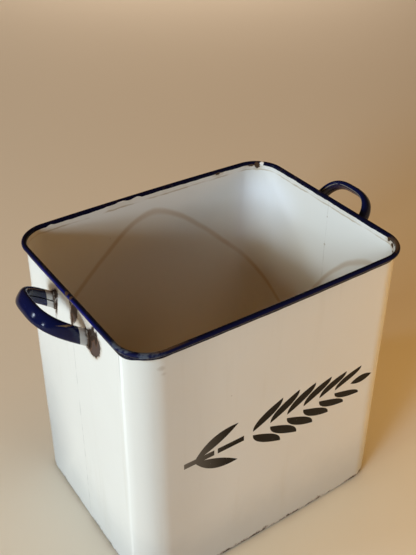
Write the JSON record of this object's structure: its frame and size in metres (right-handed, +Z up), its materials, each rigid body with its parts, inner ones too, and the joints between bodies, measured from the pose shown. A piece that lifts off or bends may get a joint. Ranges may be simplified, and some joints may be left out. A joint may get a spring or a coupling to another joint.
{
  "type": "bread bin",
  "caption": "Open rectangular enamelled sheet-steel bread bin with a rolled, wired rim and bent strap handles on the end walls.",
  "frame": {"origin": "middle of the footprint, on the resting face under the turned-in bottom edge", "axes": "+Z up, +X along the long front wall from the left handle to the right handle, -Y out through the lettered front wall"},
  "size_m": [0.4087, 0.2571, 0.3315],
  "materials": {
    "cream_enamel": "glossy fired enamel, pitted and chipped",
    "navy_enamel": "glossy fired enamel, worn on edges",
    "steel_wire": "dull drawn steel, hidden inside the curl"
  },
  "bodies": {
    "root": {"front_shell": "cream_enamel", "back_shell": "cream_enamel", "base_pan": "cream_enamel", "rim_wire": "steel_wire", "left_handle": "navy_enamel", "right_handle": "navy_enamel"}
  },
  "joints": []
}
